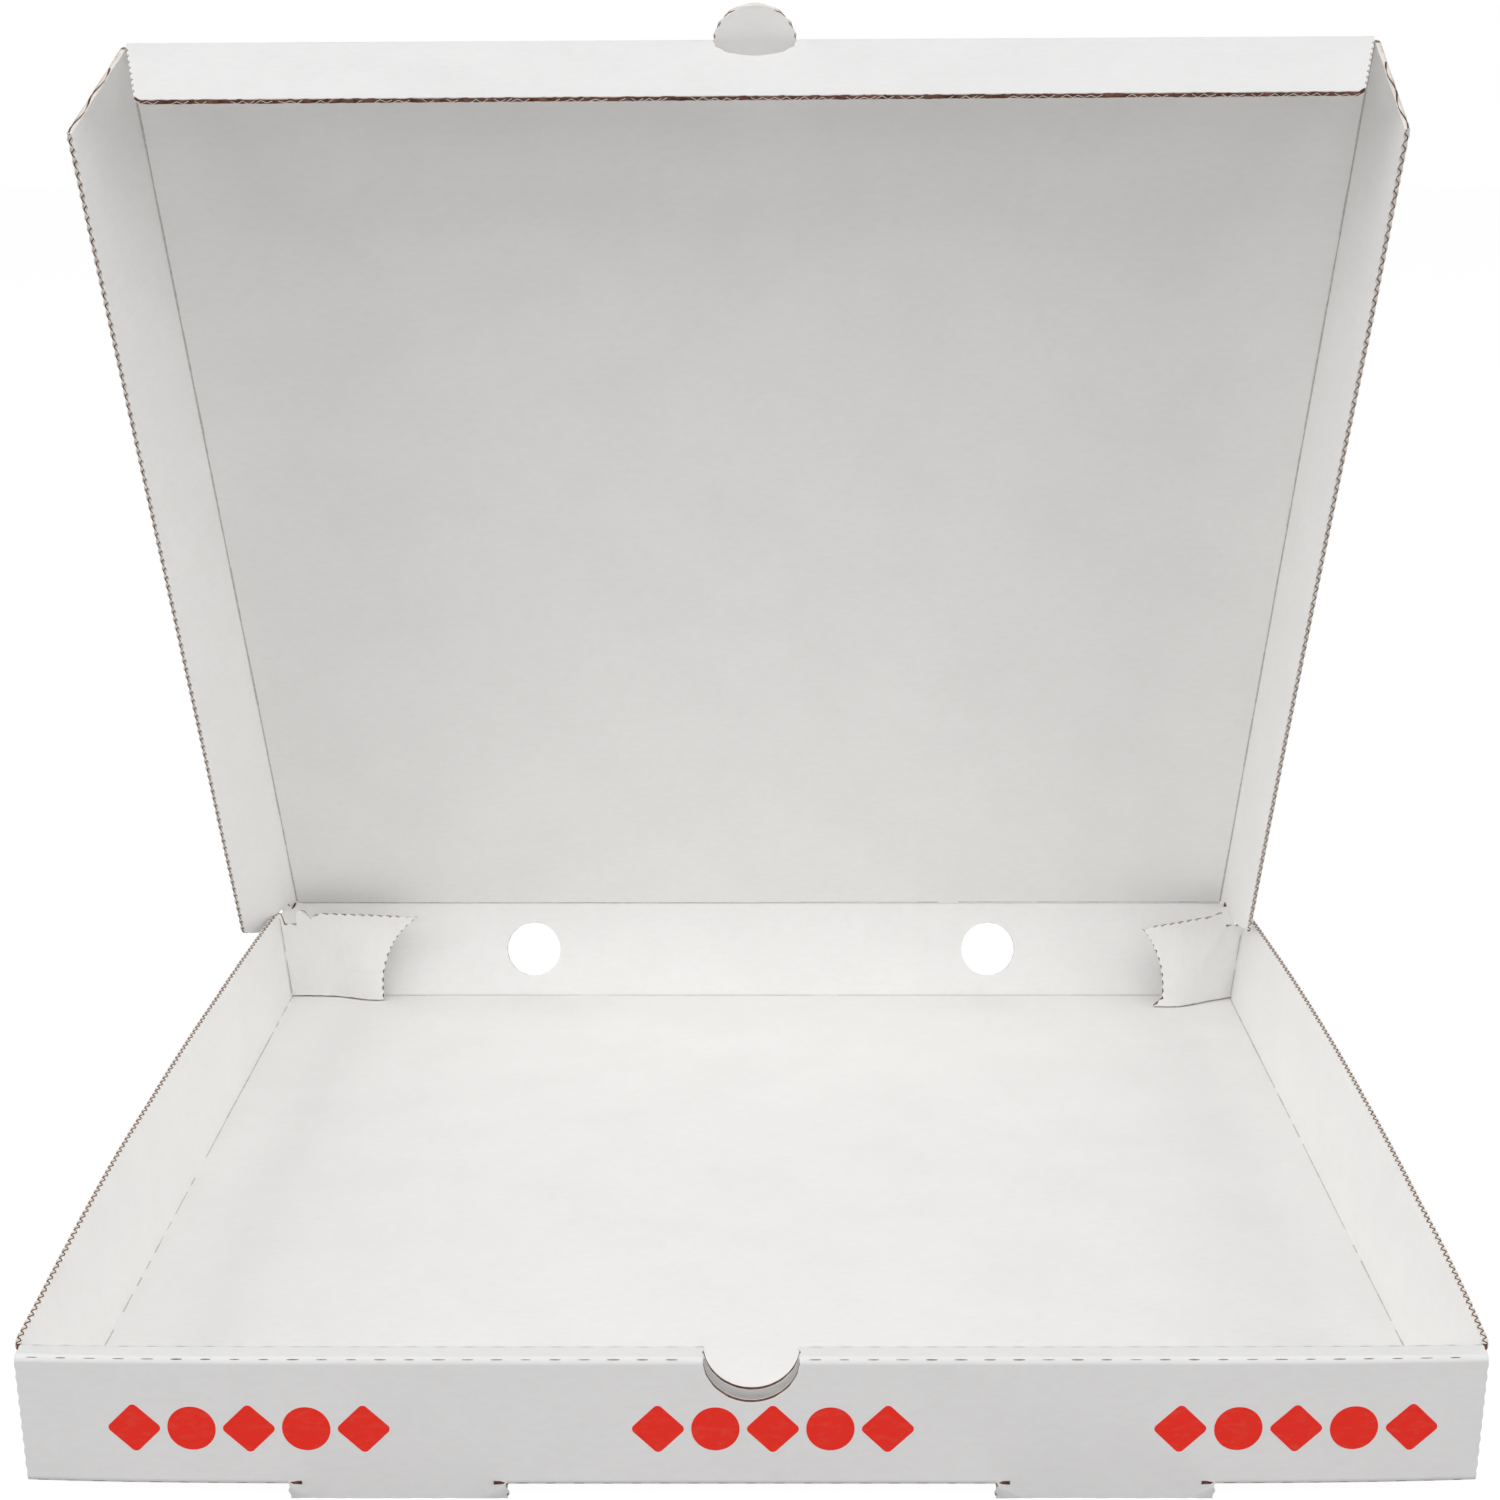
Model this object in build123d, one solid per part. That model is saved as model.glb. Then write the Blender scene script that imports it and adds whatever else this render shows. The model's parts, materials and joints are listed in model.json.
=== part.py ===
from build123d import *
import math
import os

# A one-piece folding pizza box in E-flute board, seen open: tray, back wall and lid.
# The box is built closed and square in millimetres, with X to the right, Y to the back
# and Z up, and is then opened at its two rear creases and stood on its feet.

# The board
board = 1.5
crease_gap = 0.15
edge_gap = 0.3
overrun = 5.0

# The tray: inside width between the side creases, length from the front crease to the rear one
tray_width = 330.0
tray_length = 320.5
wall_height = 32.5
side_wall_drop = 0.5
side_bow = 4.8
left_rear_flare = 1.2
right_rear_flare = 4.0
bow_section_shares = (0.0, 0.25, 0.5, 0.75, 1.0)

# The double front wall, rolled over the front flaps and locked into the base
band_depth = 6.7
inner_wall_lift = 0.5
front_flap_length = 55.0
front_flap_place_share = 0.5
notch_radius = 11.0
foot_width = 50.0
foot_centre = 81.2
lock_side_gap = 1.0

# The rear dust flaps, which reach in from the side walls behind the back wall's ends
dust_flap_bottom = 0.5
dust_bend_share = 0.31
left_dust_length = 46.0
left_dust_set_in = 6.3
left_dust_first_set_in_share = 0.12
right_dust_length = 36.5
right_dust_set_in = 12.5
right_dust_first_set_in_share = 0.5
dust_end_height = 6.7
left_dust_end_hollow = 13.0
right_dust_end_hollow = 9.0
dust_slit_width = 4.8
left_dust_slit_depth = 4.5
right_dust_slit_depth = 8.0
dust_slit_inset = 0.1

# The back wall with its two steam vents
lid_gap = 1.3
back_wall_side_gap = 1.0
vent_radius = 9.3
vent_spacing = 159.8
vent_height = 16.2

# The lid with its lip, side flaps and thumb tab
lid_side_gap = 3.25
lid_length = 313.0
lip_depth = 29.8
lip_end_gap = 0.5
lip_taper = 7.0
lip_corner = 2.0
side_flap_depth = 29.0
flap_front_slant = 8.5
flap_rear_start = 3.0
flap_rear_slant = 12.5
flap_corner_radius = 4.0
tab_radius = 10.8
tab_hole_depth = 8.5

# How far the box stands open, in degrees
back_wall_angle = 18.3
lid_angle = 134.7
right_angle = 90

# Sizes that follow
half_tray = tray_width / 2
rear_crease_y = board + tray_length
side_wall_top = wall_height - side_wall_drop
back_wall_height = wall_height - board + lid_gap
lid_crease_z = board + back_wall_height
half_lid = half_tray - lid_side_gap
lip_crease_y = rear_crease_y - lid_length
slot_depth = band_depth + edge_gap - board
foot_bottom = board - slot_depth
under_band = wall_height - board - edge_gap
wall_rear_y = rear_crease_y - board - edge_gap
wall_front_y = board + front_flap_place_share * (band_depth - 3 * board) + board


def block(low, high):
    """A plain block between two corners."""
    size = [b - a for a, b in zip(low, high)]
    return Pos(*low) * Box(*size, align=(Align.MIN, Align.MIN, Align.MIN))


def board_profile(points, side):
    """A strip of board along a line of crease points, on its left (1) or right (-1), with round outer folds."""
    corners = [Vector(*point) for point in points]
    runs = list(zip(corners, corners[1:]))
    outs = [(b - a).normalized().rotate(Axis.Z, right_angle) * side * board for a, b in runs]
    edges = [Line(corners[0], corners[0] + outs[0]), Line(corners[-1], corners[-1] + outs[-1])]
    for (a, b), out in zip(runs, outs):
        edges.append(Line(a, b))
        edges.append(Line(a + out, b + out))
    for corner, before, after in zip(corners[1:-1], outs, outs[1:]):
        middle = (before + after).normalized() * board
        edges.append(ThreePointArc(corner + before, corner + middle, corner + after))
    return make_face(edges)


def across(profile_points, side, half_width):
    """A folded strip drawn as (y, z) points and run across the box from side to side."""
    face = Plane.YZ * board_profile(profile_points, side)
    return Pos(-half_width, 0, 0) * extrude(face, 2 * half_width, dir=(1, 0, 0))


def side_prism(points, x_start, thickness):
    """An outline of (y, z) points, as thick as given and starting at x_start."""
    face = Plane.YZ * make_face(Polyline(*points, close=True))
    return Pos(x_start, 0, 0) * extrude(face, thickness, dir=(1, 0, 0))


def front_prism(points, y_start, thickness):
    """An outline of (x, z) points, as thick as given and starting at y_start."""
    face = Plane.XZ * make_face(Polyline(*points, close=True))
    return Pos(0, y_start, 0) * extrude(face, thickness, dir=(0, 1, 0))


def fold_along_y(x, z, turn, y_start, y_end):
    """The round outside of a crease that runs from front to back."""
    corner = make_face([Line((0, 0), (board, 0)), Line((0, 0), (0, board)),
                        CenterArc((0, 0), board, 0, right_angle)])
    face = Plane.XZ * (Rot(0, 0, turn) * corner)
    return Pos(x, y_start, z) * extrude(face, y_end - y_start, dir=(0, 1, 0))


def base_and_front():
    """The base, the front wall, the band on top and the inner wall: one strip folded three times."""
    path = [(rear_crease_y - crease_gap, board), (board, board), (board, wall_height - board),
            (band_depth - board, wall_height - board), (band_depth - board, board + inner_wall_lift)]
    strip = across(path, 1, half_tray + board)
    for side in (-1, 1):
        outer = sorted((side * half_tray, side * (half_tray + overrun)))
        strip -= block((outer[0], board, -overrun), (outer[1], rear_crease_y + overrun, board))
        inner = sorted((side * (half_tray - edge_gap), side * (half_tray + overrun)))
        strip -= block((inner[0], band_depth - board, -overrun), (inner[1], band_depth + overrun, under_band))
    return strip


def lock_tabs_and_feet(strip):
    """Slots cut in the base; the strip cut out of each hangs down from the front wall as a foot."""
    for side in (-1, 1):
        left = side * foot_centre - foot_width / 2
        right = left + foot_width
        strip -= block((left, board, -overrun), (right, board + slot_depth, board))
        strip += block((left, 0, foot_bottom), (right, board, board))
        strip += block((left + lock_side_gap, band_depth - board, 0),
                       (right - lock_side_gap, band_depth, board + inner_wall_lift))
    return strip


def thumb_notch(strip):
    """A half-round bite through both front walls and the band between them."""
    cutter = Pos(0, band_depth / 2, wall_height) * Rot(right_angle, 0, 0) * Cylinder(notch_radius, band_depth + 2 * overrun)
    return strip - cutter


def side_wall(side, rear_flare):
    """A side wall: straight at its crease, bowed outwards along its free edge."""
    sections = []
    length = wall_rear_y - wall_front_y
    for share in bow_section_shares:
        offset = 4 * side_bow * share * (1 - share) + rear_flare * share
        outline = [(side * half_tray, board), (side * (half_tray + board), board),
                   (side * (half_tray + board + offset), side_wall_top),
                   (side * (half_tray + offset), side_wall_top)]
        face = Plane.XZ * make_face(Polyline(*outline, close=True))
        sections.append(Pos(0, wall_front_y + share * length, 0) * face)
    wall = loft(sections)
    clear = sorted((side * (half_tray - overrun), side * (half_tray + overrun)))
    wall -= block((clear[0], -overrun, under_band), (clear[1], band_depth + edge_gap, wall_height + overrun))
    turn = -right_angle if side > 0 else 2 * right_angle
    return wall + fold_along_y(side * half_tray, board, turn, wall_front_y, wall_rear_y)


def front_flap(side):
    """The flap on the front end of a side wall, caught inside the double front wall."""
    corner = (side * half_tray, wall_front_y)
    path = [(side * (half_tray - front_flap_length), wall_front_y), corner,
            (side * half_tray, wall_front_y + edge_gap)]
    face = board_profile(path, -side)
    return Pos(0, 0, board + edge_gap) * extrude(face, under_band - board - edge_gap, dir=(0, 0, 1))


def dust_outline(side, flare, length, set_in, first_share, height):
    """The plan of a dust flap at one height: a fold, a soft bend and a free end."""
    root = side * (half_tray + flare)
    bend = side * (half_tray - dust_bend_share * length)
    end = side * (half_tray - length)
    first = wall_rear_y - first_share * set_in
    last = wall_rear_y - set_in
    lines = [Line((root, wall_rear_y), (bend, first)), Line((bend, first), (end, last)),
             Line((end, last), (end, last + board)), Line((end, last + board), (bend, first + board)),
             Line((bend, first + board), (root, wall_rear_y + board)),
             CenterArc((root, wall_rear_y), board, 0 if side > 0 else right_angle, right_angle),
             Line((root + side * board, wall_rear_y), (root, wall_rear_y))]
    return Pos(0, 0, height) * make_face(lines)


def dust_flap(side, flare, length, set_in, first_share, hollow, slit_depth):
    """The flap on the rear end of a side wall, with a hollow free end and a slit for the lid's side flap."""
    low = board + dust_flap_bottom
    low_flare = flare * dust_flap_bottom / (side_wall_top - board)
    flap = loft([dust_outline(side, low_flare, length, set_in, first_share, low),
                 dust_outline(side, flare, length, set_in, first_share, side_wall_top)], ruled=True)
    rise = side_wall_top - dust_end_height
    radius = (hollow ** 2 + rise ** 2) / (2 * hollow)
    centre_x = side * (half_tray - length + hollow - radius)
    bite = Pos(centre_x, wall_rear_y - set_in, dust_end_height) * Rot(right_angle, 0, 0)
    flap -= bite * Cylinder(radius, 4 * set_in)
    slit_x = side * (half_tray - dust_slit_inset - dust_slit_width / 2)
    slit_low = (slit_x - dust_slit_width / 2, wall_rear_y - set_in - overrun, side_wall_top - slit_depth)
    slit_high = (slit_x + dust_slit_width / 2, rear_crease_y + overrun, side_wall_top + overrun)
    return flap - block(slit_low, slit_high)


def tray():
    """The whole tray as one folded piece."""
    body = thumb_notch(lock_tabs_and_feet(base_and_front()))
    for side, flare in ((-1, left_rear_flare), (1, right_rear_flare)):
        body += side_wall(side, flare)
        body += front_flap(side)
    body += dust_flap(-1, left_rear_flare, left_dust_length, left_dust_set_in,
                      left_dust_first_set_in_share, left_dust_end_hollow, left_dust_slit_depth)
    body += dust_flap(1, right_rear_flare, right_dust_length, right_dust_set_in,
                      right_dust_first_set_in_share, right_dust_end_hollow, right_dust_slit_depth)
    return body


def back_wall():
    """The rear panel between the two creases, a little narrower at the lid, with two vents."""
    low = half_tray - back_wall_side_gap
    outline = [(-low, board + crease_gap), (low, board + crease_gap),
               (half_lid, lid_crease_z - crease_gap), (-half_lid, lid_crease_z - crease_gap)]
    wall = front_prism(outline, rear_crease_y, board)
    for side in (-1, 1):
        vent = Pos(side * vent_spacing / 2, rear_crease_y, board + vent_height)
        wall -= vent * Rot(right_angle, 0, 0) * Cylinder(vent_radius, 4 * board)
    return wall


def lid_panel_and_lip():
    """The lid's flat panel and the lip at its front, one strip with one fold."""
    path = [(rear_crease_y - crease_gap, lid_crease_z), (lip_crease_y, lid_crease_z),
            (lip_crease_y, lid_crease_z - lip_depth)]
    strip = across(path, -1, half_lid)
    lip_low = lid_crease_z - lip_depth
    for side in (-1, 1):
        start = side * (half_lid - lip_end_gap)
        end = side * (half_lid - lip_end_gap - lip_taper)
        corner = end - side * lip_corner
        out = side * (half_lid + overrun)
        end_cut = [(start, lid_crease_z + board), (start, lid_crease_z), (end, lip_low + lip_corner),
                   (corner, lip_low), (corner, lip_low - overrun), (out, lip_low - overrun),
                   (out, lid_crease_z + board)]
        strip -= front_prism(end_cut, lip_crease_y - overrun, overrun)
    return strip


def lid_side_flap(side):
    """A side flap, slanted at its front and rear ends, with the fold that joins it to the panel."""
    low = lid_crease_z - side_flap_depth
    rear = rear_crease_y - flap_rear_start
    outline = [(rear, lid_crease_z), (lip_crease_y, lid_crease_z), (lip_crease_y + flap_front_slant, low),
               (rear - flap_rear_slant, low)]
    start = half_lid if side > 0 else -half_lid - board
    flap = side_prism(outline, start, board)
    flap = fillet(flap.edges().filter_by(Axis.X).group_by(Axis.Z)[0].sort_by(Axis.Y)[-1], flap_corner_radius)
    turn = 0 if side > 0 else right_angle
    return flap + fold_along_y(side * half_lid, lid_crease_z, turn, lip_crease_y, rear)


def thumb_tab():
    """The half-round tab that stays in the lid's plane when the lip is folded down."""
    disc = Cylinder(tab_radius, board, align=(Align.CENTER, Align.CENTER, Align.MIN))
    tab = Pos(0, lip_crease_y, lid_crease_z) * disc
    return tab - block((-2 * tab_radius, lip_crease_y, 0), (2 * tab_radius, lip_crease_y + 2 * tab_radius, 2 * lid_crease_z))


def tab_hole():
    """The rounded hole that the tab leaves in the lip."""
    shape = Plane.XZ * Ellipse(tab_radius, tab_hole_depth)
    below = Pos(0, lip_crease_y - overrun, lid_crease_z) * extrude(shape, overrun, dir=(0, 1, 0))
    return below + block((-tab_radius, lip_crease_y - overrun, lid_crease_z),
                         (tab_radius, lip_crease_y, lid_crease_z + 2 * board))


def lid():
    """The whole lid as one folded piece, drawn closed."""
    body = lid_panel_and_lip() - tab_hole()
    body += thumb_tab()
    for side in (-1, 1):
        body += lid_side_flap(side)
    return body


def turned(shape, y, z, angle):
    """A shape turned about a crease that runs from side to side; a positive angle leans it back."""
    return Pos(0, y, z) * Rot(-angle, 0, 0) * Pos(0, -y, -z) * shape


def lean_back(shape):
    return turned(shape, rear_crease_y, board, back_wall_angle)


foot_tilt = math.degrees(math.asin(-foot_bottom / rear_crease_y))
open_lid = turned(lid(), rear_crease_y, lid_crease_z, lid_angle - right_angle)
pieces = {
    "tray": tray(),
    "back_wall": lean_back(back_wall()),
    "lid": lean_back(open_lid),
}
pieces = {name: turned(piece, rear_crease_y, 0, foot_tilt) for name, piece in pieces.items()}

# The origin is under the middle of the open box, at the height that it stands on
boxes = [piece.bounding_box() for piece in pieces.values()]
middle_x = (min(box.min.X for box in boxes) + max(box.max.X for box in boxes)) / 2
middle_y = (min(box.min.Y for box in boxes) + max(box.max.Y for box in boxes)) / 2
seat = Pos(-middle_x, -middle_y, -min(box.min.Z for box in boxes))

os.makedirs("parts", exist_ok=True)
for name, piece in pieces.items():
    export_step(seat * piece, f"parts/{name}.step")
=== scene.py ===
import json
import math
import random

import bpy
import numpy as np
from mathutils import Matrix, Vector
from mathutils.geometry import delaunay_2d_cdt


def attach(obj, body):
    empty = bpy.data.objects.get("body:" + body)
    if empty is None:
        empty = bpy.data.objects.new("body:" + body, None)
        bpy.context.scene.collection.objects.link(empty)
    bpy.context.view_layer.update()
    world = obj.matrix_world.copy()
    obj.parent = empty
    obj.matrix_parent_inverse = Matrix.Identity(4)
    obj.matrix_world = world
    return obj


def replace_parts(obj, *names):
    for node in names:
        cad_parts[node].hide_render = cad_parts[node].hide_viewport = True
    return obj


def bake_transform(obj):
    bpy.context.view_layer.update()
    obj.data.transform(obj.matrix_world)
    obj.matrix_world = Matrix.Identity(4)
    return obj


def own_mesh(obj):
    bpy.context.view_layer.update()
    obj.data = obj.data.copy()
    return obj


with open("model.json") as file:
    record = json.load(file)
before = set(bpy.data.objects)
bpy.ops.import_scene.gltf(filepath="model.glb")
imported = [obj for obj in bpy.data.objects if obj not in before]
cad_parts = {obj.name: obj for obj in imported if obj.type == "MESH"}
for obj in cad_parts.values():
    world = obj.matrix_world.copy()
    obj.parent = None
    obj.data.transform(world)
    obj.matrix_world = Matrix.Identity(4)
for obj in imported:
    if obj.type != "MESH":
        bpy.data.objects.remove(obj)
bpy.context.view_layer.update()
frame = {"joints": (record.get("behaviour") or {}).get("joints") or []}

mm = 0.001
chance = random.Random(7)

# The board: two white liners over a brown fluted middle, with the flutes running from side to side
board = 1.5 * mm
liner = 0.24 * mm
fluting_sheet = 0.3 * mm
fluting_recess = 0.02 * mm
fluting_cover = 0.07 * mm
fluting_stub = 3 * mm
# How far in from a cut edge the strip of painted light between the liners sits
flute_light_recess = 0.16 * mm
flute_pitch = 3.17 * mm
samples_per_flute = 8
teeth = {"cut": 0.75 * mm, "trim": 0.3 * mm, "round": 0.12 * mm, "serrated": 0.75 * mm}
serration = 2.7 * mm
proud = 0.03 * mm

# Points on each tooth or wave of an edge, and steps round the curved cuts
wave_steps = 6
arc_steps = 40
circle_steps = 64

# Torn edges: the middle paper in layers, each with its share of the bulge, and slivers of liner over it
trim_step = 1.3 * mm
trim_jitter = (-0.1 * mm, 0.14 * mm)
torn_step = 0.7 * mm
torn_bulge = 0.45 * mm
torn_jitter = (-0.05 * mm, 0.08 * mm)
torn_recess = 0.05 * mm
torn_layers = [(liner / 2, 0), (0.3 * board, 0.75), (0.5 * board, 1), (0.7 * board, 0.7),
               (board - liner / 2, 0)]
layer_jitter = 0.04 * mm
sliver_step = 1.5 * mm
sliver_depths = (1.05 * mm, 0.3 * mm)
sliver_jitter = 0.15 * mm
sliver_width = 0.17 * mm
sliver_bulges = (0.7, 1.3)
sliver_runs = (2, 3, 4, 5)
sliver_gaps = (0, 0, 1, 2, 4)

# The waves along a torn edge: strength, radians per mm, and radians per metre of depth
torn_waves = [(1, 1.9, 0), (0.7, 0.83, 900), (0.5, 3.7, 0)]
torn_phases = (0, 6.28)
torn_level = 0.45
torn_swing = 0.3

# How finely the sheets are divided
grid_step = 12 * mm
grid_margin = 2.5 * mm
dust_grid_step = 2.2 * mm
fold_step = 8 * mm

# Perforated creases; the two ranges are shares of the length and of the width
dash_pitch = 6.57 * mm
dash_length = 3.0 * mm
dash_width = 0.3 * mm
dash_margin = 2 * mm
dash_lengths = (0.8, 1.12)
dash_widths = (0.6, 1.2)
top_dash_angle = 46
bottom_dash_angle = 35
crease_wave = 0.22 * mm

# Painted shade lines along the creases: width, step, jitter and share of gaps of each; line_widths are shares
# of the width
line_styles = {
    "base left": (0.35 * mm, 5 * mm, 0.05 * mm, 0.25),
    "base right": (0.35 * mm, 5 * mm, 0.05 * mm, 0.1),
    "wall corner": (0.3 * mm, 3 * mm, 0.03 * mm, 0.15),
    "base rear": (0.3 * mm, 9 * mm, 0.12 * mm, 0.05),
    "lid side": (0.6 * mm, 7 * mm, 0.08 * mm, 0),
    "lid rear": (0.4 * mm, 7 * mm, 0.22 * mm, 0.04),
}
line_widths = (0.5, 1.15)
line_margin = 1 * mm
corner_line_margin = 1.5 * mm
base_line_inset = 0.25 * mm
rear_line_inset = 0.4 * mm
corner_line_inset = 0.4 * mm
corner_line_lift = 0.12 * mm
lid_side_line_inset = 0.3 * mm
lid_rear_line_inset = 0.45 * mm

# The tray
tray_width = 330 * mm
tray_length = 320.5 * mm
wall_height = 32.5 * mm
side_wall_top = 32 * mm
side_bow = 4.8 * mm
rear_flares = {-1: 1.2 * mm, 1: 4.0 * mm}
# How far each side wall springs out beyond that: distance from the front and amount, in mm
wall_springs = {
    -1: [(4.1, 0), (7, 1.6), (10, 1.9), (30, 1.5), (60, 1.3), (117, 1.1), (150, 0.6), (235, 0.6), (320, 1.6)],
    1: [(4.1, 0), (7, 1.6), (10, 1.9), (30, 1.7), (60, 1.2), (85, 0.6), (117, 0.3), (150, 0), (320, -0.5)],
}
band_depth = 6.7 * mm
inner_wall_lift = 0.5 * mm
edge_gap = 0.3 * mm
front_flap_length = 55 * mm
notch_radius = 11 * mm
foot_width = 50 * mm
foot_centre = 81.2 * mm
foot_bottom = -4 * mm
wall_front_y = 4.1 * mm

# How far the front wall bulges out: height on it and amount, in mm, fading out only near its ends
front_bulge = [(-4, 0.6), (0, 1.9), (32.5, 1.4)]
inner_bulge = 1.0 * mm
bulge_power = 6

# The dust flaps, from the side wall inwards: distance from the fold and place of the front face, in mm
dust_bottom = 0.5 * mm
dust_lows = {
    -1: [(0, 320.4), (10, 320.3), (17.6, 319.8), (24.2, 316.9), (30.2, 315.5), (34, 316.2), (47, 317)],
    1: [(0, 319.6), (2.1, 317.4), (8.8, 314.9), (13.9, 311.7), (19.3, 309.2), (27.1, 309.1), (38, 311)],
}
dust_highs = {
    -1: [(0, 320.2), (15, 319.6), (30, 318.1), (46, 316.2)],
    1: [(0, 320.2), (6, 318.6), (12, 315.4), (20, 311), (33, 304.6), (38, 303)],
}
dust_smoothing = (-3, -1.5, 0, 1.5, 3)
dust_fade = 14 * mm
dust_length = {-1: 46 * mm, 1: 34.5 * mm}
dust_hollow = {-1: 13 * mm, 1: 9 * mm}
dust_end_height = 6.7 * mm
dust_toes = {-1: 0, 1: 2.9 * mm}

# The torn end of each dust flap's top edge: height over the edge and distance from the fold, in mm
dust_tops = {
    -1: [(0.2, 12.5), (-0.4, 10.6), (-1.9, 9.4), (0.6, 8.2), (1.2, 7.0), (1.0, 5.6), (-3.8, 4.9), (-3.8, 1.4),
         (0, 0.8)],
    1: [(0, 9.5), (0.8, 8.6), (1.0, 7.6), (0.8, 6.0), (-3.8, 5.2), (-4.0, 1.8), (0, 0.8)],
}

# The faint mark pressed into the left dust flap: an upright line and one along the flap
ridge_width = 0.5 * mm
ridge_height = 0.1 * mm
ridge_step = 2 * mm
ridge_upright = 17.4 * mm
ridge_span = (18.6 * mm, 32.6 * mm)
ridge_top_gap = 0.6 * mm
ridge_level_share = 0.35
ridge_foot_share = 0.36

# The back wall and the lid
back_wall_height = 32.3 * mm
back_inset = 1 * mm
back_ears = {-1: 3.4 * mm, 1: 1.5 * mm}
back_ear_height = 9 * mm
vent_radius = 9.3 * mm
vent_spacing = 159.8 * mm
vent_height = 16.2 * mm
crease_gap = 0.04 * mm
half_lids = {-1: 163.4 * mm, 1: 161.75 * mm}
lid_twist = 0.0128
lid_length = 313 * mm
lip_depth = 29.8 * mm
lip_end_gap = 0.5 * mm
lip_taper = 7 * mm
lip_corner = 2 * mm
tab_radius = 10.8 * mm
tab_hole_depth = 8.5 * mm
crease_reach = 1.2 * mm
side_flap_depth = 30 * mm
flap_front_slant = 8.5 * mm

# The torn rear end of each side flap of the lid: distance from its fold and from the crease, in mm
flap_rears = {
    -1: [(0, 0.7), (3, 1.1), (4.2, 3.6), (10, 4.9), (22.2, 5.8), (29.4, 12.6)],
    1: [(0, 0.7), (3, 1.1), (4, 4.8), (8, 5.8), (15.2, 6.2), (29.9, 16.4)],
}
tuft_start = (0.7 * mm, 0)
tuft_pitches = (0.9 * mm, 0.6 * mm)
tuft_jitter = 0.2 * mm
tuft_lift = 0.15 * mm
tuft_rise = 0.3 * mm

# How far each side flap of the lid springs open: distance from the rear crease in mm, and degrees
flares = {
    -1: [(0, 24.6), (50, 24.0), (100, 23.0), (150, 22.2), (200, 21.5), (250, 20.8), (313, 20.0)],
    1: [(0, 6.6), (20, 6.0), (50, 5.9), (100, 6.0), (150, 6.6), (200, 7.3), (250, 8.1), (313, 7.8)],
}

# The ornaments on the front wall: low and high edge, and both ends of each group
ornament_span = (8.4 * mm, 21.2 * mm)
ornament_groups = [(-146.9 * mm, -81.8 * mm), (-27.7 * mm, 37.4 * mm), (91.1 * mm, 156.7 * mm)]
ornament_count = 5
ornament_corner = 1.2 * mm
disc_share = 0.86

# How far the box stands open
back_wall_lean = math.radians(18.3)
lid_opening = math.radians(44.7)

UP, OUT, BACK = Vector((0, 0, 1)), Vector((1, 0, 0)), Vector((0, 1, 0))

# Sizes that follow
half_tray = tray_width / 2
outer_half = half_tray + board
rear_crease_y = board + tray_length
foot_tilt = math.asin(-foot_bottom / rear_crease_y)
slot_depth = band_depth + edge_gap - board
under_band = wall_height - board - edge_gap
wall_rear_y = rear_crease_y - board - edge_gap
wall_run = side_wall_top - board
foot_inner, foot_outer = foot_centre - foot_width / 2, foot_centre + foot_width / 2
front_spans = [(-outer_half, -foot_outer), (-foot_inner, foot_inner), (foot_outer, outer_half)]

# Where the parts of the folded sheet lie: each matrix takes a part's own flat place to the row frame
joints = {joint["name"]: joint for joint in frame["joints"]}
rear_crease = Vector(joints["back_wall_hinge"]["pos_m"])
lid_crease = Vector(joints["lid_hinge"]["pos_m"])
tray_place = (Matrix.Translation(rear_crease) @ Matrix.Rotation(-foot_tilt, 4, "X")
              @ Matrix.Translation((0, -rear_crease_y, -board)))
back_place = Matrix.Translation(rear_crease) @ Matrix.Rotation(-foot_tilt - back_wall_lean, 4, "X")
lid_place = (Matrix.Translation(lid_crease)
             @ Matrix.Rotation(-foot_tilt - back_wall_lean - lid_opening, 4, "X"))


# Materials
def srgb(red, green, blue):
    """A colour given as it looks on screen, 0 to 255, as the linear values that nodes take."""
    values = []
    for part in (red, green, blue):
        share = part / 255
        values.append(share / 12.92 if share <= 0.04045 else ((share + 0.055) / 1.055) ** 2.4)
    return (*values, 1.0)


def set_inputs(node, values):
    for name, value in values.items():
        node.inputs[name].default_value = value


def new_material(name, roughness, specular):
    material = bpy.data.materials.new(name)
    material.use_nodes = True
    nodes = material.node_tree.nodes
    shader = nodes["Principled BSDF"]
    set_inputs(shader, {"Roughness": roughness, "Specular IOR Level": specular})
    return material, nodes, material.node_tree.links, shader


def sheet_coordinates(nodes, links, stretch=1):
    """The place on the flat sheet: along the flutes, times stretch, across them and through the board."""
    place = nodes.new("ShaderNodeAttribute")
    place.attribute_name = "sheet_place"
    mapping = nodes.new("ShaderNodeMapping")
    set_inputs(mapping, {"Scale": (stretch, 1, 1)})
    links.new(place.outputs["Vector"], mapping.inputs["Vector"])
    return mapping.outputs["Vector"]


def noise(nodes, links, vector, scale, roughness):
    texture = nodes.new("ShaderNodeTexNoise")
    set_inputs(texture, {"Scale": scale, "Detail": 3, "Roughness": roughness})
    links.new(vector, texture.inputs["Vector"])
    return texture.outputs["Fac"]


def ramp(nodes, links, factor, low, high, low_at, high_at):
    """A two-colour ramp between two places."""
    node = nodes.new("ShaderNodeValToRGB")
    for element, colour, place in zip(node.color_ramp.elements, (low, high), (low_at, high_at)):
        element.position = place
        element.color = colour
    links.new(factor, node.inputs["Fac"])
    return node.outputs["Color"]


def multiply(nodes, links, first, second):
    node = nodes.new("ShaderNodeMix")
    node.data_type = "RGBA"
    node.blend_type = "MULTIPLY"
    set_inputs(node, {"Factor": 1.0})
    links.new(first, node.inputs["A"])
    links.new(second, node.inputs["B"])
    return node.outputs["Result"]


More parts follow.
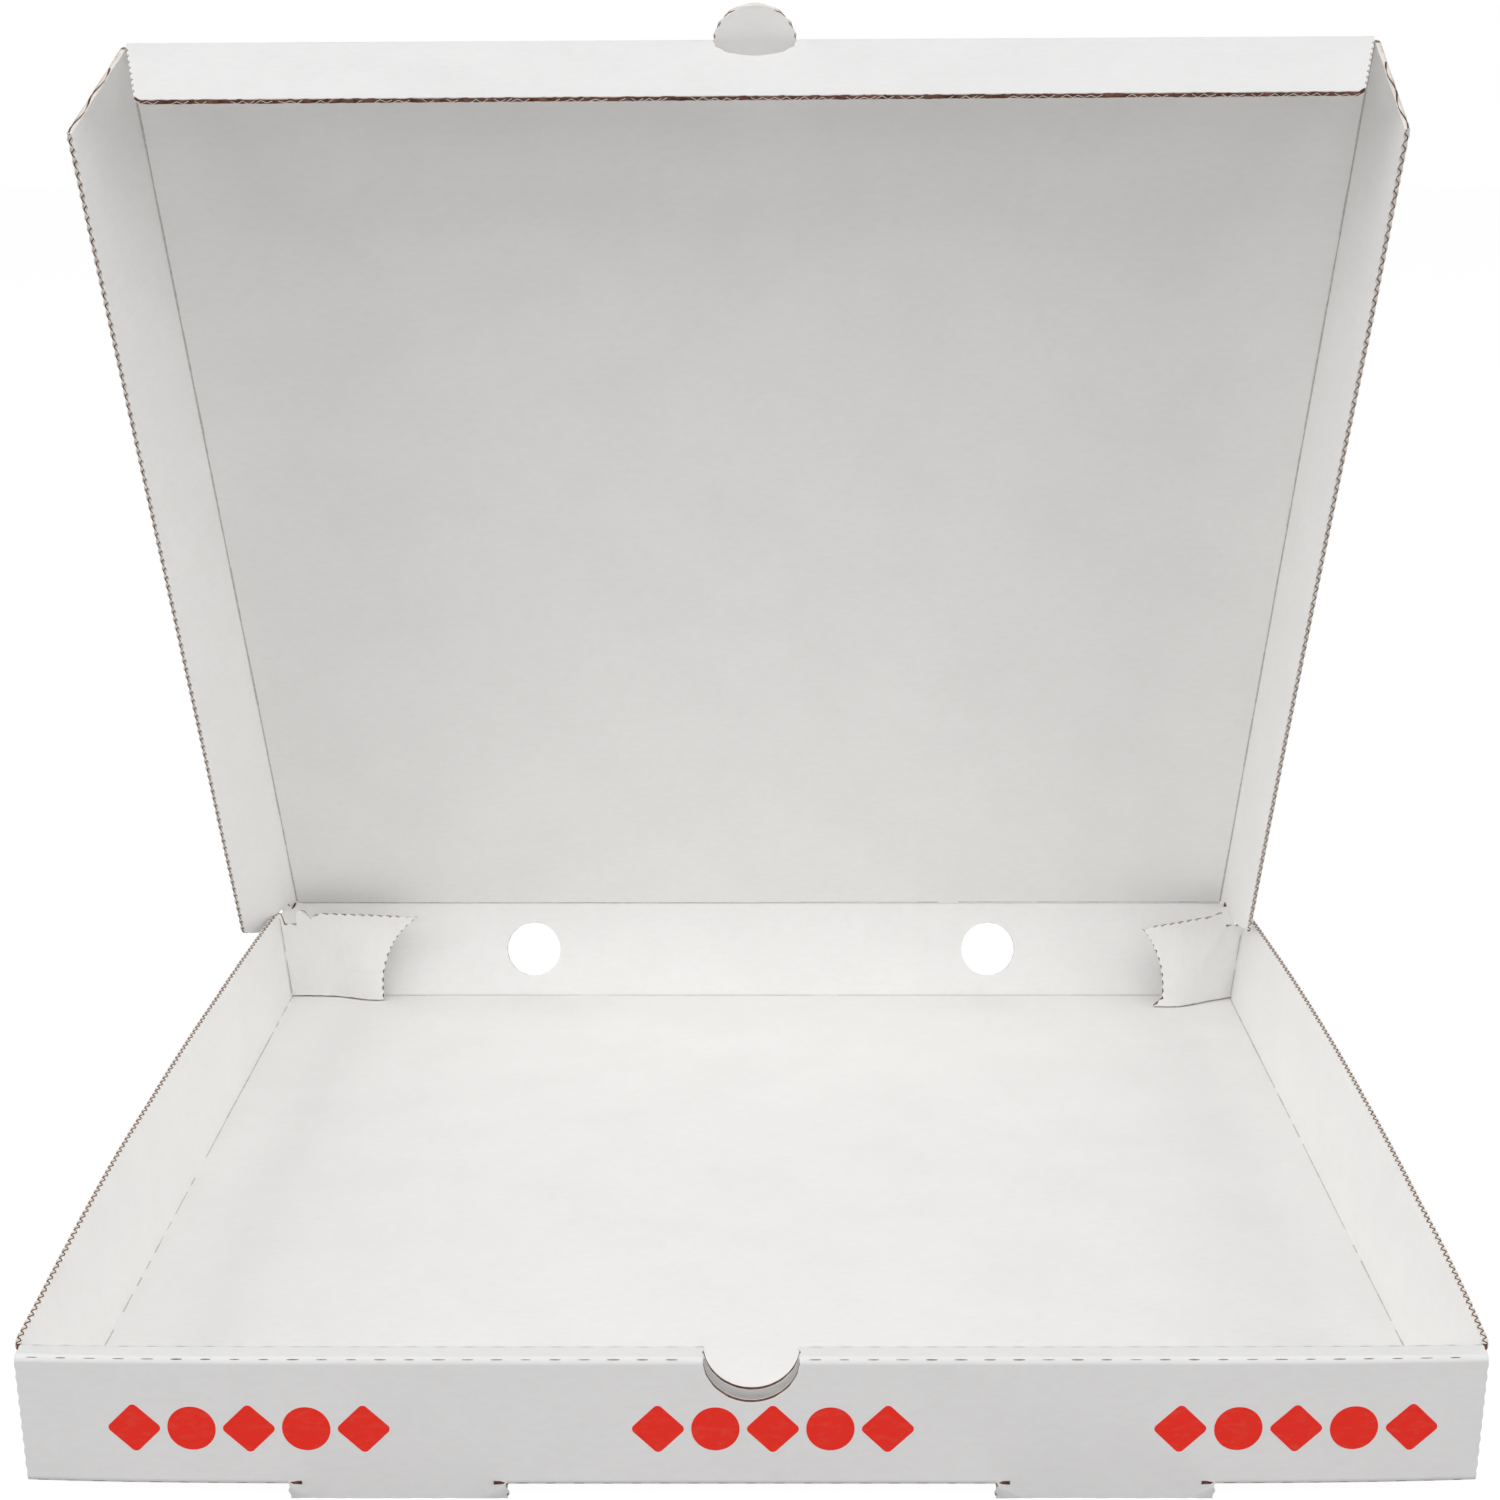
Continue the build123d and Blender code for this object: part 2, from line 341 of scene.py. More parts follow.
def liner_material(name, white, shade, glow=0.0):
    """White coated paper over flutes: faint speckle, faint flute lines and soft clouds, and glow as a painted
    glow.
    """
    material, nodes, links, shader = new_material(name, roughness=0.72, specular=0.25)
    flat = sheet_coordinates(nodes, links)
    clouds = noise(nodes, links, flat, scale=34, roughness=0.55)
    speckle = noise(nodes, links, sheet_coordinates(nodes, links, 0.45), scale=620, roughness=0.65)
    waves = nodes.new("ShaderNodeTexWave")
    waves.wave_type = "BANDS"
    waves.bands_direction = "Y"
    waves.wave_profile = "SIN"
    set_inputs(waves, {"Scale": math.pi / (10 * flute_pitch), "Distortion": 0.8, "Detail": 1,
                       "Detail Scale": 0.4})
    links.new(flat, waves.inputs["Vector"])
    cloud_colour = ramp(nodes, links, clouds, shade, white, low_at=0.3, high_at=0.62)
    speck_colour = ramp(nodes, links, speckle, srgb(252, 252, 251), srgb(255, 255, 255), low_at=0.3,
                        high_at=0.6)
    links.new(multiply(nodes, links, cloud_colour, speck_colour), shader.inputs["Base Color"])
    set_inputs(shader, {"Emission Color": (1, 1, 1, 1), "Emission Strength": glow})
    bump = nodes.new("ShaderNodeBump")
    set_inputs(bump, {"Strength": 0.12, "Distance": 0.04 * mm})
    links.new(waves.outputs["Fac"], bump.inputs["Height"])
    links.new(bump.outputs["Normal"], shader.inputs["Normal"])
    return material


def paper_material(name, dark, light):
    """Bare paper of the fluting and the cut edges, the painted light between the liners behind a cut and the
    painted shade in the creases, mottled with short fibres.
    """
    material, nodes, links, shader = new_material(name, roughness=0.9, specular=0.15)
    patches = noise(nodes, links, sheet_coordinates(nodes, links), scale=420, roughness=0.7)
    colour = ramp(nodes, links, patches, dark, light, low_at=0.35, high_at=0.68)
    links.new(colour, shader.inputs["Base Color"])
    return material


def ink_material(name, full, thin):
    """Flat red ink, a little thinner in places."""
    material, nodes, links, shader = new_material(name, roughness=0.62, specular=0.25)
    spots = noise(nodes, links, sheet_coordinates(nodes, links, 0.4), scale=900, roughness=0.6)
    colour = ramp(nodes, links, spots, thin, full, low_at=0.25, high_at=0.5)
    links.new(colour, shader.inputs["Base Color"])
    return material


def show_to_camera(nodes, links, output, lit, seen, share):
    """Gives the output what lights the scene, with a share of what only the camera sees mixed in."""
    path = nodes.new("ShaderNodeLightPath")
    part = nodes.new("ShaderNodeMath")
    part.operation = "MULTIPLY"
    part.inputs[1].default_value = share
    links.new(path.outputs["Is Camera Ray"], part.inputs[0])
    mix = nodes.new("ShaderNodeMixShader")
    links.new(part.outputs[0], mix.inputs["Fac"])
    links.new(lit, mix.inputs[1])
    links.new(seen, mix.inputs[2])
    links.new(mix.outputs["Shader"], nodes[output].inputs["Surface"])


# A painted glow on the hidden outer face of the front wall's inner layer, standing in for light that shines
# through the thin board inside the front wall
painted_glow = 0.4
inner_liner = liner_material("inner_liner", srgb(245, 244, 243), srgb(242, 241, 240))
# The outer liner is a little darker than the inner one: painted shade that darkens the front wall and the
# other outward faces
outer_liner = liner_material("outer_liner", srgb(238, 237, 237), srgb(235, 234, 234))
brown_fluting = paper_material("brown_fluting", srgb(80, 46, 42), srgb(132, 96, 82))
# Cream paper for the liners' cut edges and slivers, and painted light on the strips between the liners behind
# a cut
cut_paper_and_flute_light = paper_material("cut_paper_and_flute_light", srgb(228, 220, 210), srgb(246, 243, 238))
# Grey painted shade for the creases, standing in for the shade in the small groove of each fold
crease_shade = paper_material("crease_shade", srgb(184, 180, 176), srgb(216, 213, 210))
slit_line = paper_material("slit_line", srgb(112, 104, 96), srgb(156, 148, 138))
glowing_liner = liner_material("glowing_liner", srgb(245, 244, 243), srgb(242, 241, 240), painted_glow)
red_ink = ink_material("red_ink", (0.93, 0.028, 0.014, 1), (0.88, 0.06, 0.04, 1))
INNER, OUTER, FLUTING, CUT_AND_FLUTE_LIGHT, CREASE_SHADE, SLIT, GLOWING = range(7)
sheet_materials = (inner_liner, outer_liner, brown_fluting, cut_paper_and_flute_light, crease_shade, slit_line, glowing_liner)


# Building blocks: a store collects points and faces, then becomes one mesh
def new_store():
    return {"points": [], "flat": [], "faces": [], "slots": []}


def add_points(store, places, flats):
    first = len(store["points"])
    store["points"].extend(places)
    store["flat"].extend(flats)
    return first


def add_faces(store, faces, slot, mirrored=False):
    store["faces"].extend(face[::-1] if mirrored else face for face in faces)
    store["slots"].extend([slot] * len(faces))


def new_object(name, data):
    thing = bpy.data.objects.new(name, data)
    bpy.context.scene.collection.objects.link(thing)
    return thing


def make_mesh(store, name, matrix, materials=sheet_materials):
    mesh = bpy.data.meshes.new(name)
    places = [matrix @ Vector(place) for place in store["points"]]
    mesh.from_pydata([tuple(place) for place in places], [], store["faces"])
    for material in materials:
        mesh.materials.append(material)
    mesh.polygons.foreach_set("material_index", store["slots"])
    mesh.polygons.foreach_set("use_smooth", [slot in (INNER, OUTER, GLOWING) for slot in store["slots"]])
    attribute = mesh.attributes.new("sheet_place", "FLOAT_VECTOR", "POINT")
    attribute.data.foreach_set("vector", np.array(store["flat"], dtype=np.float32).ravel())
    mesh.update()
    return new_object(name, mesh)


def make_piece(store, name, body, matrix, materials=sheet_materials):
    """One mesh piece that rides on a body."""
    piece = make_mesh(store, name, matrix, materials)
    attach(piece, body)
    return piece


def arc(centre, radius, start, end, steps, squeeze=1.0):
    """Points of an arc, in degrees, its second direction squeezed for half an ellipse."""
    points = []
    for step in range(steps + 1):
        angle = math.radians(start + (end - start) * step / steps)
        points.append((centre[0] + radius * math.cos(angle), centre[1] + squeeze * radius * math.sin(angle)))
    return points


def steps_between(start, end, step):
    count = max(1, round(abs(end - start) / step))
    return [start + (end - start) * i / count for i in range(count + 1)]


def resample(line, step):
    """Points along a line at about even steps, with its corners kept."""
    points = []
    for (x1, y1), (x2, y2) in zip(line, line[1:]):
        count = max(1, round(math.hypot(x2 - x1, y2 - y1) / step))
        points += [(x1 + (x2 - x1) * i / count, y1 + (y2 - y1) * i / count) for i in range(count)]
    return points + [line[-1]]


def moved_out(line, distance, turn):
    """A line moved outwards by distance(point, outward). turn is 1 where the outline runs anticlockwise,
    and -1 where it runs clockwise."""
    result = []
    for index, (x, y) in enumerate(line):
        before, after = line[max(index - 1, 0)], line[min(index + 1, len(line) - 1)]
        dx, dy = after[0] - before[0], after[1] - before[1]
        length = math.hypot(dx, dy) or 1
        outward = (turn * dy / length, -turn * dx / length)
        step = distance((x, y), outward)
        result.append((x + outward[0] * step, y + outward[1] * step))
    return result


def ring_area(points):
    total = 0
    for (x1, y1), (x2, y2) in zip(points, points[1:] + points[:1]):
        total += x1 * y2 - x2 * y1
    return total / 2


def toothed(line, turn, phase, depth):
    """A line cut across the flutes: the liner stands out a little between them."""
    fine = resample(line, flute_pitch / wave_steps)

    def distance(point, outward):
        wave = abs(((point[1] / flute_pitch + phase) % 1) * 2 - 1)
        return depth * (wave - 0.5) * abs(outward[0])

    return [fine[0]] + moved_out(fine, distance, turn)[1:-1] + [fine[-1]]


def serrated(line, turn, phase, depth):
    """A curved line cut with a serrated edge: even teeth all along it."""
    fine = resample(line, serration / wave_steps)
    runs = iter(range(len(fine)))

    def distance(point, outward):
        wave = abs(((next(runs) / wave_steps + phase) % 1) * 2 - 1)
        return depth * (wave - 0.5)

    return [fine[0]] + moved_out(fine, distance, turn)[1:-1] + [fine[-1]]


def ragged(line, turn):
    """A line cut along the flutes, a little uneven."""
    fine = resample(line, trim_step)
    moved = moved_out(fine, lambda point, outward: chance.uniform(*trim_jitter), turn)
    return [fine[0]] + moved[1:-1] + [fine[-1]]


def edges_of(corners, kinds):
    """The straight edges of a panel, one from each corner to the next, with the kind of each."""
    return [([a, b], kind) for a, b, kind in zip(corners, corners[1:] + corners[:1], kinds)]


def inside(rings, points):
    """Which points lie inside the rings, counting holes out."""
    points = np.asarray(points)
    result = np.zeros(len(points), bool)
    for ring in rings:
        ring = np.asarray(ring)
        for (x1, y1), (x2, y2) in zip(ring, np.roll(ring, -1, axis=0)):
            if y1 == y2:
                continue
            crosses = (points[:, 1] >= min(y1, y2)) & (points[:, 1] < max(y1, y2))
            at = x1 + (points[:, 1] - y1) * (x2 - x1) / (y2 - y1)
            result ^= crosses & (points[:, 0] < at)
    return result


def is_mirrored(place, point):
    """Whether a panel's own directions form a left-handed set where it lies."""
    x, y = point
    start = Vector(place(x, y, 0))
    along = Vector(place(x + mm, y, 0)) - start
    across = Vector(place(x, y + mm, 0)) - start
    return along.cross(across).dot(Vector(place(x, y, mm)) - start) < 0


def add_sheet(store, rings, place, low, high, slot, rim=CUT_AND_FLUTE_LIGHT, step=grid_step):
    """A thin sheet of paper inside the first ring and outside the others, from low to high through
    the board."""
    rings = [ring if (ring_area(ring) > 0) == (index == 0) else ring[::-1]
             for index, ring in enumerate(rings)]
    mirrored = is_mirrored(place, rings[0][0])
    every = np.concatenate([np.asarray(ring) for ring in rings])
    lows, highs = every.min(0), every.max(0)
    spans = highs - lows
    counts = [max(1, round(span / step)) for span in spans]
    grid = [(lows[0] + spans[0] * i / counts[0], lows[1] + spans[1] * j / counts[1])
            for i in range(1, counts[0]) for j in range(1, counts[1])]
    if grid:
        grid = np.asarray(grid)
        grid = grid[inside(rings, grid)]
    if len(grid):
        gaps = np.min(np.linalg.norm(grid[:, None] - every[None], axis=2), axis=1)
        grid = [tuple(point) for point in grid[gaps > min(grid_margin, step / 3)]]
    coordinates, edges = [], []
    for ring in rings:
        first = len(coordinates)
        coordinates.extend(Vector(point) for point in ring)
        edges.extend((first + i, first + (i + 1) % len(ring)) for i in range(len(ring)))
    coordinates.extend(Vector(point) for point in grid)
    spots, _, triangles, _, _, _ = delaunay_2d_cdt(coordinates, edges, [], 0, 1e-7)
    spots = np.array([tuple(spot) for spot in spots])
    triangles = np.array([tuple(triangle) for triangle in triangles if len(triangle) == 3])
    triangles = triangles[inside(rings, spots[triangles].mean(axis=1))]
    for depth, flip in ((high, False), (low, True)):
        first = add_points(store, [place(x, y, depth) for x, y in spots], [(x, y, depth) for x, y in spots])
        faces = [tuple(int(first + i) for i in (t[::-1] if flip else t)) for t in triangles]
        add_faces(store, faces, slot, mirrored)
    for ring in rings:
        count = len(ring)
        places = [place(x, y, depth) for depth in (low, high) for x, y in ring]
        flats = [(x, y, depth) for depth in (low, high) for x, y in ring]
        first = add_points(store, places, flats)
        faces = []
        for i in range(count):
            after = (i + 1) % count
            faces.append((first + i, first + after, first + count + after, first + count + i))
        add_faces(store, faces, rim, mirrored)


def crossings(rings, level):
    """Where the rings cross a line at this level across the flutes, sorted."""
    found = []
    for ring in rings:
        for (x1, y1), (x2, y2) in zip(ring, ring[1:] + ring[:1]):
            if (y1 <= level) != (y2 <= level):
                found.append(x1 + (level - y1) * (x2 - x1) / (y2 - y1))
    return sorted(found)


def add_fluting(store, rings, place):
    """The wavy middle paper between the liners, near the cut ends where it shows."""
    levels = [point[1] for ring in rings for point in ring]
    lowest, highest = min(levels) + fluting_recess, max(levels) - fluting_recess
    count = int((highest - lowest) / flute_pitch * samples_per_flute)
    swing = board / 2 - fluting_sheet / 2 - fluting_cover
    mirrored = is_mirrored(place, rings[0][0])
    previous = None
    for index in range(count + 1):
        level = lowest + (highest - lowest) * index / count
        wave = board / 2 + swing * math.sin(2 * math.pi * level / flute_pitch)
        found = crossings(rings, level)
        spans = []
        for a, b in zip(found[::2], found[1::2]):
            if b - a > 2 * fluting_stub:
                spans += [(a + fluting_recess, a + fluting_stub), (b - fluting_stub, b - fluting_recess)]
        column = []
        for a, b in spans:
            corners = [(x, wave + side * fluting_sheet / 2) for side in (-1, 1) for x in (a, b)]
            places = [place(x, level, depth) for x, depth in corners]
            column.append(add_points(store, places, [(x, level, depth) for x, depth in corners]))
        if previous is not None and len(previous) == len(column):
            faces = []
            for p, q in zip(previous, column):
                faces += [(p, q, q + 1, p + 1), (p + 2, p + 3, q + 3, q + 2)]
                faces += [(p, p + 2, q + 2, q), (p + 1, q + 1, q + 3, p + 3)]
            add_faces(store, faces, FLUTING, mirrored)
        previous = column


def add_strip(store, rows, slot):
    """A surface through rows of points."""
    width = len(rows[0])
    first = len(store["points"])
    for row in rows:
        add_points(store, row, [tuple(point) for point in row])
    faces = []
    for i in range(len(rows) - 1):
        for j in range(width - 1):
            a = first + i * width + j
            faces.append((a, a + 1, a + 1 + width, a + width))
    add_faces(store, faces, slot)


def add_flute_light(store, line, place, turn):
    """A pale strip between the liners a little way in from a cut edge: painted light that stands in for light
    seen through the open flutes.
    """
    fine = moved_out(resample(line, flute_pitch / 2), lambda point, outward: -flute_light_recess, turn)
    add_strip(store, [[place(x, y, depth) for x, y in fine] for depth in (liner / 2, board - liner / 2)], CUT_AND_FLUTE_LIGHT)


def add_crushed(store, line, place, turn):
    """The torn middle paper along an edge that runs with the flutes, with light slivers of liner."""
    fine = resample(line, torn_step)
    phases = [chance.uniform(*torn_phases) for _ in torn_waves]
    rows = []
    for depth, share in torn_layers:
        out = []
        for x, y in fine:
            t = (x + y) / mm
            wave = 0
            for (strength, pace, drift), phase in zip(torn_waves, phases):
                wave += strength * math.sin(pace * t + phase + drift * depth)
            stray = chance.uniform(*torn_jitter)
            out.append(share * (torn_bulge * (torn_level + torn_swing * wave) + stray) - torn_recess)
        steps = iter(out)
        moved = moved_out(fine, lambda point, outward: next(steps), turn)
        rows.append([place(x, y, depth + chance.uniform(-layer_jitter, layer_jitter)) for x, y in moved])
    add_strip(store, rows, FLUTING)

    def sliver_bulge(point, outward):
        return torn_bulge * chance.uniform(*sliver_bulges)

    out = moved_out(resample(line, sliver_step), sliver_bulge, turn)
    first = 0
    while first < len(out) - 2:
        run = out[first:first + chance.choice(sliver_runs)]
        zigzag = [(x, y, sliver_depths[index % 2] + chance.uniform(-sliver_jitter, sliver_jitter))
                  for index, (x, y) in enumerate(run)]
        rows = [[place(x, y, depth + thick) for x, y, depth in zigzag] for thick in (0, sliver_width)]
        add_strip(store, rows, CUT_AND_FLUTE_LIGHT)
        first += len(run) - 1 + chance.choice(sliver_gaps)


def add_board(store, edges, place, holes=(), slots=(), step=grid_step, outer=OUTER):
    """A panel of corrugated board. Each edge is a line and its kind: fold, cut or trim across the flutes,
    round for a smooth curve, serrated, or torn along the flutes. Holes show their cut, slots do not."""
    whole = [point for line, _ in edges for point in line[:-1]]
    turn = 1 if ring_area(whole) > 0 else -1
    gaps = [list(gap) for gap in (*holes, *slots)]
    for phase, low, slot in ((0, 0, INNER), (0.5, board - liner, outer)):
        ring = []
        for line, kind in edges:
            if kind == "serrated":
                shaped = serrated(line, turn, phase, teeth[kind])
            elif kind in teeth:
                shaped = toothed(line, turn, phase, teeth[kind])
            elif kind == "torn":
                shaped = ragged(line, turn)
            else:
                shaped = resample(line, step)
            ring += shaped[:-1]
        add_sheet(store, [ring] + gaps, place, low, low + liner, slot, step=step)
    add_fluting(store, [whole] + gaps, place)
    for line, kind in edges:
        # Cuts across the flutes get a strip of painted light between the liners
        if kind in ("cut", "trim"):
            add_flute_light(store, line, place, turn)
        if kind in ("serrated", "round"):
            fine = resample(line, serration / wave_steps)
            rows = [[place(x, y, depth) for x, y in fine] for depth in (liner, board - liner)]
            add_strip(store, rows, FLUTING)
        if kind == "torn":
            add_crushed(store, line, place, turn)
    for hole in holes:
        add_flute_light(store, list(hole) + [hole[0]], place, -1 if ring_area(list(hole)) > 0 else 1)


def add_outer_fold(store, along, corner, step=1 / 6):
    """The outer liner where it goes round a fold. corner(t) gives the crease point and the two directions
    that it turns between, at the place t along the fold."""
    rows = []
    for share in steps_between(0, 1, step):
        row = []
        for t in along:
            point, first, second = corner(t)
            row.append(tuple(point + board * first.slerp(second, share)))
        rows.append(row)
    add_strip(store, rows, OUTER)


def add_mark(store, outline, place, slot):
    first = add_points(store, [place(t, u) for t, u in outline], [(t, u, 0) for t, u in outline])
    add_faces(store, [tuple(range(first, first + len(outline)))], slot)


def add_dashes(store, start, end, place):
    """Perforation cuts: slim lens shapes at even steps along a crease. place(t, u) gives the point at t
    along it and u across it."""
    position = start
    while position + dash_length < end:
        half = dash_length / 2 * chance.uniform(*dash_lengths)
        wide = dash_width / 2 * chance.uniform(*dash_widths)
        middle = position + dash_length / 2
        add_mark(store, arc((middle, 0), half, 0, 315, 7, wide / half), place, SLIT)
        position += dash_pitch


def add_crease_shade(store, start, end, place, style):
    """A thin line of painted shade along a crease, of uneven width, with gaps in it."""
    width, step, jitter, gaps = line_styles[style]
    stops = steps_between(start, end, step)
    shift = 0
    for a, b in zip(stops, stops[1:]):
        if chance.random() < gaps:
            continue
        shift = max(-jitter, min(jitter, shift + chance.uniform(-0.5, 0.5) * jitter))
        half = width / 2 * chance.uniform(*line_widths)
        low, high = shift - half, shift + half
        add_mark(store, [(a, low), (b, low), (b, high), (a, high)], place, CREASE_SHADE)


def add_ridge(store, along, place):
    """A faint mark pressed into the inner liner."""
    profile = ((-ridge_width, proud), (0, -ridge_height), (ridge_width, proud))
    add_strip(store, [[place(t, u, n) for t in along] for u, n in profile], INNER)


def look_up(table, place):
    """The value at a place, from a table in mm."""
    table = np.array(table) * mm
    return float(np.interp(place, table[:, 0], table[:, 1]))


# The tray's panels, each drawn flat as (along the flutes, across them, depth from the inner face)
def bulge_share(a):
    return max(0.0, 1 - abs(a / outer_half) ** bulge_power)


def bulge(a, c):
    """How far the front wall stands out at a along it and c up it."""
    return bulge_share(a) * look_up(front_bulge, c)


def on_base(a, c, n):
    return (a, c - bulge(a, 0) * max(0.0, 1 - (c - board) / band_depth), board - n)


def on_front(a, c, n):
    return (a, board - n - bulge(a, c), c)


def on_band(a, c, n):
    front, rear = bulge(a, wall_height), inner_bulge * bulge_share(a)
    share = (c - board) / (band_depth - 2 * board)
    return (a, c - front - (rear - front) * share, wall_height - board + n)


def on_inner_wall(a, c, n):
    return (a, band_depth - board + n - inner_bulge * bulge_share(a), c)


def wall_offset(side, y):
    """How far a side wall's free edge leans out at y."""
    share = (y - wall_front_y) / (wall_rear_y - wall_front_y)
    bow = 4 * side_bow * share * (1 - share) + rear_flares[side] * share
    return bow + look_up(wall_springs[side], y)


def on_side_wall(side):
    def place(a, c, n):
        return (side * (half_tray + n + wall_offset(side, c) * a / wall_run), c, board + a)
    return place


def on_front_flap(side):
    def place(a, c, n):
        return (side * c, wall_front_y - n, board + a)
    return place


def on_dust_flap(side):
    """A dust flap: a is its height over the base, c its distance from the side wall, n goes to the rear."""
    def smooth(table, c):
        return sum(look_up(table, c + shift * mm) for shift in dust_smoothing) / len(dust_smoothing)

    def place(a, c, n):
        height = a / wall_run
        low, high = smooth(dust_lows[side], c), smooth(dust_highs[side], c)
        eased = height * height * (3 - 2 * height)
        fade = max(0.0, 1 - c / dust_fade)
        out = wall_offset(side, wall_rear_y) * height * fade
        return (side * (half_tray - c + out), low + (high - low) * eased + n, board + a)
    return place


def dust_flap_edges(side):
    foot = dust_end_height - board
    rise = wall_run - foot
    hollow, length, toe = dust_hollow[side], dust_length[side], dust_toes[side]
    radius = (hollow ** 2 + rise ** 2) / (2 * hollow)
    free = [(dust_bottom, length - hollow)]
    if toe:
        free = [(dust_bottom, length - hollow + toe), (dust_bottom + toe, length - hollow)]
    for share in steps_between(0, 1, 0.04):
        bite = hollow - radius + math.sqrt(radius ** 2 - (rise * share) ** 2)
        free.append((foot + rise * share, length - bite))
    top = [(wall_run, length)] + [(wall_run + a * mm, c * mm) for a, c in dust_tops[side]]
    return [([(dust_bottom, 0), free[0]], "torn"), (free, "serrated"), (top, "cut"),
            ([top[-1], (wall_run, 0)], "fold"), ([(wall_run, 0), (dust_bottom, 0)], "fold")]


def notch_line():
    """The finger notch in the front wall and in its inner layer, from the right to the left."""
    side = math.degrees(math.asin(board / notch_radius))
    return arc((0, wall_height), notch_radius, -side, -180 + side, arc_steps)


def front_outline(notch):
    """The front wall with its strips and notch, and the slots in the base that the strips go through."""
    front, slots = [], []
    x = -outer_half
    for side in (-1, 1):
        left = side * foot_centre - foot_width / 2
        right = left + foot_width
        low, high = board + proud, board + slot_depth
        slots.append([(left, low), (left, high), (right, high), (right, low)])
        front += [([(x, board), (left, board)], "fold"),
                  ([(left, board), (left, foot_bottom)], "cut"),
                  ([(left, foot_bottom), (right, foot_bottom)], "torn"),
                  ([(right, foot_bottom), (right, board)], "cut")]
        x = right
    top = wall_height - board
    front += [([(x, board), (outer_half, board)], "fold"),
              ([(outer_half, board), (outer_half, top)], "trim"),
              ([(outer_half, top), notch[0]], "fold"),
              (notch, "round"),
              ([notch[-1], (-outer_half, top)], "fold"),
              ([(-outer_half, top), (-outer_half, board)], "trim")]
    return front, slots


def inner_outline(notch):
    """The inner layer of the front wall, with its notch."""
    half = half_tray - edge_gap
    low, top = board + inner_wall_lift, wall_height - board
    return [([(-half, low), (half, low)], "torn"),
            ([(half, low), (half, top)], "cut"),
            ([(half, top), notch[0]], "fold"),
            (notch, "round"),
            ([notch[-1], (-half, top)], "fold"),
            ([(-half, top), (-half, low)], "cut")]


def tray_piece():
    store = new_store()
    notch = notch_line()
    notch_half = notch[0][0]
    front, slots = front_outline(notch)
    rear = rear_crease_y - crease_gap
    base = [(-half_tray, board), (half_tray, board), (half_tray, rear), (-half_tray, rear)]
    add_board(store, edges_of(base, ["fold"] * 4), on_base, slots=slots)
    add_board(store, front, on_front)
    band_rear = band_depth - board
    for side in (-1, 1):
        near, far = side * notch_half, side * outer_half
        band = [(near, board), (far, board), (far, band_rear), (near, band_rear)]
        add_board(store, edges_of(band, ("fold", "trim", "fold", "cut")), on_band)
    # The inner layer's outer face glows: painted light in the narrow gap behind the front wall
    add_board(store, inner_outline(notch), on_inner_wall, outer=GLOWING)
    low_a, low_c = under_band - board, band_depth + edge_gap
    flap_start = half_tray - front_flap_length
    for side in (-1, 1):
        wall = [(0, wall_front_y), (low_a, wall_front_y), (low_a, low_c), (wall_run, low_c),
                (wall_run, wall_rear_y), (0, wall_rear_y)]
        add_board(store, edges_of(wall, ("fold", "cut", "torn", "cut", "fold", "fold")), on_side_wall(side))
        add_board(store, dust_flap_edges(side), on_dust_flap(side), step=dust_grid_step)
        flap = [(edge_gap, flap_start), (low_a, flap_start), (low_a, half_tray), (edge_gap, half_tray)]
        add_board(store, edges_of(flap, ("torn", "cut", "fold", "cut")), on_front_flap(side))
    add_tray_folds(store, notch_half)
    add_tray_lines(store, notch_half)
    return make_piece(store, "tray_sheet", "tray", tray_place)


def add_tray_folds(store, notch_half):
    """The outer liner round every fold of the tray."""
    top = wall_height - board

    def bottom_fold(x):
        return Vector(on_front(x, board, 0)), -BACK, -UP

    def front_fold(x):
        return Vector(on_front(x, top, 0)), -BACK, UP

    def inner_fold(x):
        wave = crease_wave * math.sin(2 * math.pi * x / dash_pitch)
        return Vector(on_inner_wall(x, top, wave)), UP, BACK

    for start, end in front_spans:
        add_outer_fold(store, steps_between(start, end, fold_step), bottom_fold)
    for side in (-1, 1):
        place = on_side_wall(side)

        def side_fold(y):
            return Vector((side * half_tray, y, board)), -UP, OUT * side

        def corner_fold(z):
            return Vector(place(z, wall_rear_y, 0)), OUT * side, BACK

        xs = steps_between(side * notch_half, side * outer_half, dash_pitch / wave_steps)
        add_outer_fold(store, xs, front_fold)
        add_outer_fold(store, xs, inner_fold)
        add_outer_fold(store, steps_between(wall_front_y, wall_rear_y, fold_step), side_fold)
        add_outer_fold(store, steps_between(0, wall_run, fold_step / 2), corner_fold)


def round_fold(z, start, turn):
    """Places on the front wall's outer liner at a fold, an angle in degrees round from the front."""
    def place(t, u):
        angle = math.radians(start) + u / board
        reach = board + proud
        return (t, on_front(t, z, 0)[1] - reach * math.cos(angle), z + turn * reach * math.sin(angle))
    return place


